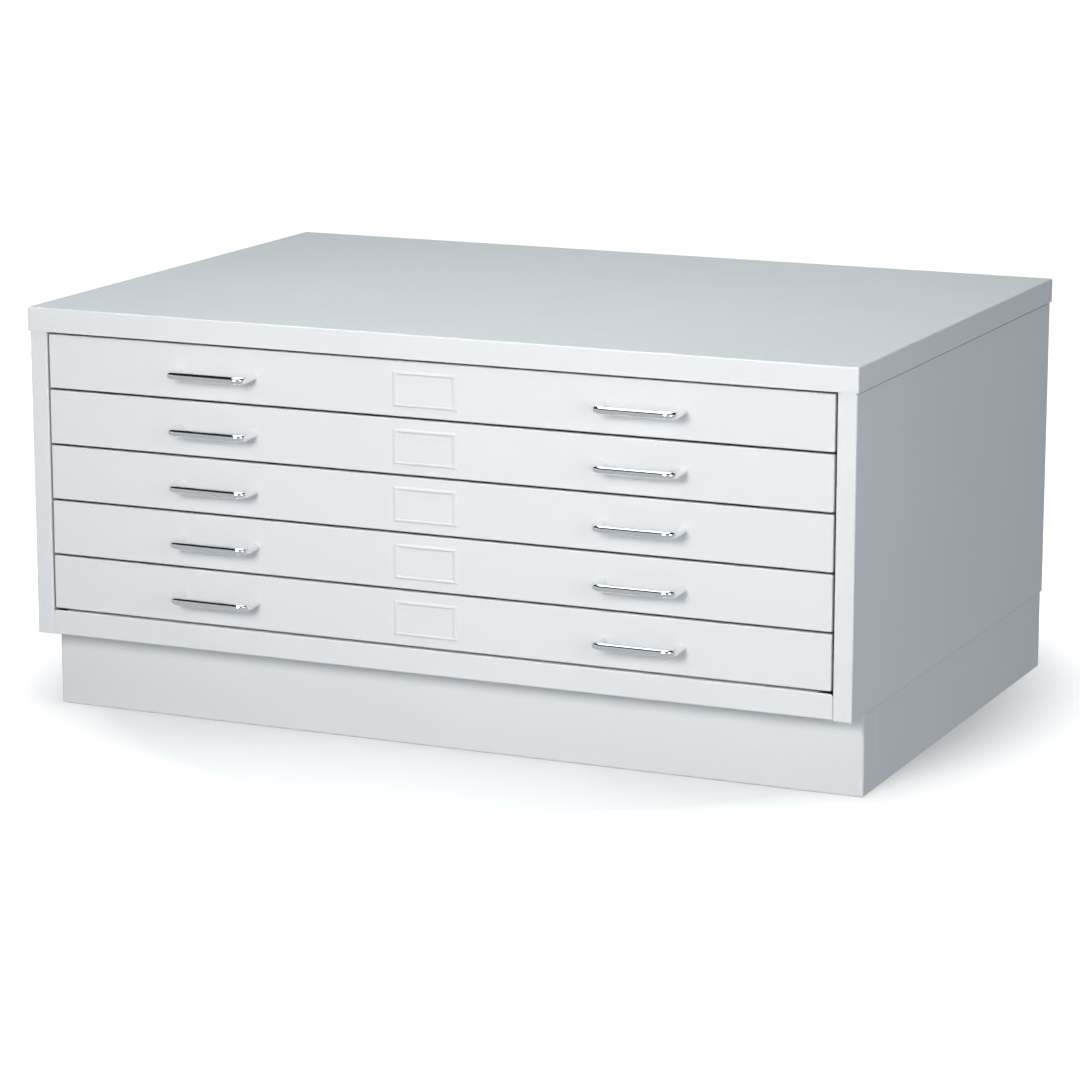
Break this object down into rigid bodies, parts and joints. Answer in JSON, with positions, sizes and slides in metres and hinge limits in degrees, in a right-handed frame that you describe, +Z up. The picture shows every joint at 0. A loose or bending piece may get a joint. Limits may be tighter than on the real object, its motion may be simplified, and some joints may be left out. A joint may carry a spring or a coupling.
{
  "type": "flat file cabinet",
  "caption": "Low steel flat file cabinet: wide shallow roller drawers with wire pulls and label frames, on a closed recessed base.",
  "frame": {"origin": "on the floor, below the centre of the overall box (the pulls count in the box)", "axes": "+X along the front towards the right-hand side as seen from the front, -Y out of the drawers, +Z up"},
  "size_m": [1.035, 0.7426, 0.492],
  "materials": {
    "enamel": "semi-gloss light grey baked enamel",
    "chrome": "polished",
    "zinc_steel": "zinc plated, satin",
    "roller": "matt nylon"
  },
  "bodies": {
    "cabinet": {"top_cap": "enamel", "left_side": "enamel", "right_side": "enamel", "back_panel": "enamel", "bottom_pan": "enamel", "bottom_rail": "enamel", "base_front": "enamel", "base_left_side": "enamel", "base_right_side": "enamel", "base_back": "enamel", "base_bolts": "zinc_steel", "left_runners": "zinc_steel", "right_runners": "zinc_steel", "runner_uprights": "zinc_steel", "front_roller_studs": "zinc_steel"},
    "drawer_1": {"drawer_1_front": "enamel", "drawer_1_tray": "enamel", "drawer_1_pulls": "chrome", "drawer_1_label_frame": "enamel", "drawer_1_rear_hood": "enamel", "drawer_1_fasteners": "zinc_steel"},
    "drawer_1_depressor_plate": {"drawer_1_depressor": "enamel"},
    "drawer_1_rear_roller_pair": {"drawer_1_rear_rollers": "roller"},
    "front_roller_pair_1": {"front_rollers_1": "roller"},
    "drawer_2": {"drawer_2_front": "enamel", "drawer_2_tray": "enamel", "drawer_2_pulls": "chrome", "drawer_2_label_frame": "enamel", "drawer_2_rear_hood": "enamel", "drawer_2_fasteners": "zinc_steel"},
    "drawer_2_depressor_plate": {"drawer_2_depressor": "enamel"},
    "drawer_2_rear_roller_pair": {"drawer_2_rear_rollers": "roller"},
    "front_roller_pair_2": {"front_rollers_2": "roller"},
    "drawer_3": {"drawer_3_front": "enamel", "drawer_3_tray": "enamel", "drawer_3_pulls": "chrome", "drawer_3_label_frame": "enamel", "drawer_3_rear_hood": "enamel", "drawer_3_fasteners": "zinc_steel"},
    "drawer_3_depressor_plate": {"drawer_3_depressor": "enamel"},
    "drawer_3_rear_roller_pair": {"drawer_3_rear_rollers": "roller"},
    "front_roller_pair_3": {"front_rollers_3": "roller"},
    "drawer_4": {"drawer_4_front": "enamel", "drawer_4_tray": "enamel", "drawer_4_pulls": "chrome", "drawer_4_label_frame": "enamel", "drawer_4_rear_hood": "enamel", "drawer_4_fasteners": "zinc_steel"},
    "drawer_4_depressor_plate": {"drawer_4_depressor": "enamel"},
    "drawer_4_rear_roller_pair": {"drawer_4_rear_rollers": "roller"},
    "front_roller_pair_4": {"front_rollers_4": "roller"},
    "drawer_5": {"drawer_5_front": "enamel", "drawer_5_tray": "enamel", "drawer_5_pulls": "chrome", "drawer_5_label_frame": "enamel", "drawer_5_rear_hood": "enamel", "drawer_5_fasteners": "zinc_steel"},
    "drawer_5_depressor_plate": {"drawer_5_depressor": "enamel"},
    "drawer_5_rear_roller_pair": {"drawer_5_rear_rollers": "roller"},
    "front_roller_pair_5": {"front_rollers_5": "roller"}
  },
  "joints": [
    {"name": "drawer_1_slide", "type": "slide", "parent": "cabinet", "child": "drawer_1", "axis": [0, -1, 0], "range_m": [0, 0.51]},
    {"name": "drawer_1_depressor_hinge", "type": "hinge", "parent": "drawer_1", "child": "drawer_1_depressor_plate", "pos_m": [0, -0.3245, 0.44691], "axis": [1, 0, 0], "range_deg": [0, 36]},
    {"name": "drawer_1_rear_roller_spin", "type": "hinge", "parent": "drawer_1", "child": "drawer_1_rear_roller_pair", "pos_m": [0, 0.3123, 0.42891], "axis": [1, 0, 0], "range_deg": [-30, 3150]},
    {"name": "front_roller_spin_1", "type": "hinge", "parent": "cabinet", "child": "front_roller_pair_1", "pos_m": [0, -0.3057, 0.42891], "axis": [1, 0, 0], "range_deg": [-30, 3150]},
    {"name": "drawer_2_slide", "type": "slide", "parent": "cabinet", "child": "drawer_2", "axis": [0, -1, 0], "range_m": [0, 0.51]},
    {"name": "drawer_2_depressor_hinge", "type": "hinge", "parent": "drawer_2", "child": "drawer_2_depressor_plate", "pos_m": [0, -0.3245, 0.38033], "axis": [1, 0, 0], "range_deg": [0, 36]},
    {"name": "drawer_2_rear_roller_spin", "type": "hinge", "parent": "drawer_2", "child": "drawer_2_rear_roller_pair", "pos_m": [0, 0.3123, 0.36233], "axis": [1, 0, 0], "range_deg": [-30, 3150]},
    {"name": "front_roller_spin_2", "type": "hinge", "parent": "cabinet", "child": "front_roller_pair_2", "pos_m": [0, -0.3057, 0.36233], "axis": [1, 0, 0], "range_deg": [-30, 3150]},
    {"name": "drawer_3_slide", "type": "slide", "parent": "cabinet", "child": "drawer_3", "axis": [0, -1, 0], "range_m": [0, 0.51]},
    {"name": "drawer_3_depressor_hinge", "type": "hinge", "parent": "drawer_3", "child": "drawer_3_depressor_plate", "pos_m": [0, -0.3245, 0.31375], "axis": [1, 0, 0], "range_deg": [0, 36]},
    {"name": "drawer_3_rear_roller_spin", "type": "hinge", "parent": "drawer_3", "child": "drawer_3_rear_roller_pair", "pos_m": [0, 0.3123, 0.29575], "axis": [1, 0, 0], "range_deg": [-30, 3150]},
    {"name": "front_roller_spin_3", "type": "hinge", "parent": "cabinet", "child": "front_roller_pair_3", "pos_m": [0, -0.3057, 0.29575], "axis": [1, 0, 0], "range_deg": [-30, 3150]},
    {"name": "drawer_4_slide", "type": "slide", "parent": "cabinet", "child": "drawer_4", "axis": [0, -1, 0], "range_m": [0, 0.51]},
    {"name": "drawer_4_depressor_hinge", "type": "hinge", "parent": "drawer_4", "child": "drawer_4_depressor_plate", "pos_m": [0, -0.3245, 0.24717], "axis": [1, 0, 0], "range_deg": [0, 36]},
    {"name": "drawer_4_rear_roller_spin", "type": "hinge", "parent": "drawer_4", "child": "drawer_4_rear_roller_pair", "pos_m": [0, 0.3123, 0.22917], "axis": [1, 0, 0], "range_deg": [-30, 3150]},
    {"name": "front_roller_spin_4", "type": "hinge", "parent": "cabinet", "child": "front_roller_pair_4", "pos_m": [0, -0.3057, 0.22917], "axis": [1, 0, 0], "range_deg": [-30, 3150]},
    {"name": "drawer_5_slide", "type": "slide", "parent": "cabinet", "child": "drawer_5", "axis": [0, -1, 0], "range_m": [0, 0.51]},
    {"name": "drawer_5_depressor_hinge", "type": "hinge", "parent": "drawer_5", "child": "drawer_5_depressor_plate", "pos_m": [0, -0.3245, 0.18059], "axis": [1, 0, 0], "range_deg": [0, 36]},
    {"name": "drawer_5_rear_roller_spin", "type": "hinge", "parent": "drawer_5", "child": "drawer_5_rear_roller_pair", "pos_m": [0, 0.3123, 0.16259], "axis": [1, 0, 0], "range_deg": [-30, 3150]},
    {"name": "front_roller_spin_5", "type": "hinge", "parent": "cabinet", "child": "front_roller_pair_5", "pos_m": [0, -0.3057, 0.16259], "axis": [1, 0, 0], "range_deg": [-30, 3150]}
  ],
  "couplings": [
    {"joint": "drawer_1_rear_roller_spin", "follows": "drawer_1_slide", "rad_per_m": 105.26},
    {"joint": "front_roller_spin_1", "follows": "drawer_1_slide", "rad_per_m": 105.26},
    {"joint": "drawer_2_rear_roller_spin", "follows": "drawer_2_slide", "rad_per_m": 105.26},
    {"joint": "front_roller_spin_2", "follows": "drawer_2_slide", "rad_per_m": 105.26},
    {"joint": "drawer_3_rear_roller_spin", "follows": "drawer_3_slide", "rad_per_m": 105.26},
    {"joint": "front_roller_spin_3", "follows": "drawer_3_slide", "rad_per_m": 105.26},
    {"joint": "drawer_4_rear_roller_spin", "follows": "drawer_4_slide", "rad_per_m": 105.26},
    {"joint": "front_roller_spin_4", "follows": "drawer_4_slide", "rad_per_m": 105.26},
    {"joint": "drawer_5_rear_roller_spin", "follows": "drawer_5_slide", "rad_per_m": 105.26},
    {"joint": "front_roller_spin_5", "follows": "drawer_5_slide", "rad_per_m": 105.26}
  ]
}
